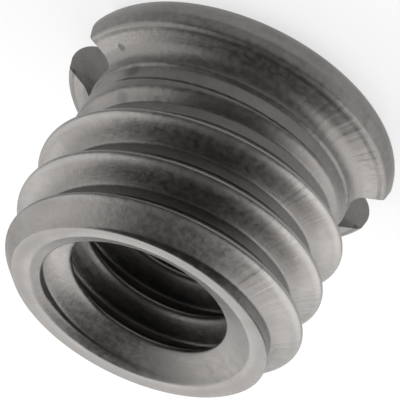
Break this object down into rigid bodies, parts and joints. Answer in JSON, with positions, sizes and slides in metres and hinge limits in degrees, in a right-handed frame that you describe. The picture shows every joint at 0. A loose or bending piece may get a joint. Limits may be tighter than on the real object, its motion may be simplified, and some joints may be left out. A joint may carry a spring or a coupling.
{
  "type": "tripod thread adapter",
  "caption": "Steel reducer bushing: coarse thread outside, smaller thread inside, thin flange with a driver slot, for fitting a small tripod screw to a larger socket.",
  "frame": {"origin": "centre of the flange's outer face, on the bore axis", "axes": "+Z along the bore axis, from the flange towards the small threaded end; the driver slot runs along X"},
  "size_m": [0.0102, 0.0104, 0.008],
  "materials": {
    "steel": "satin machined steel"
  },
  "bodies": {
    "root": {"adapter": "steel"}
  },
  "joints": []
}
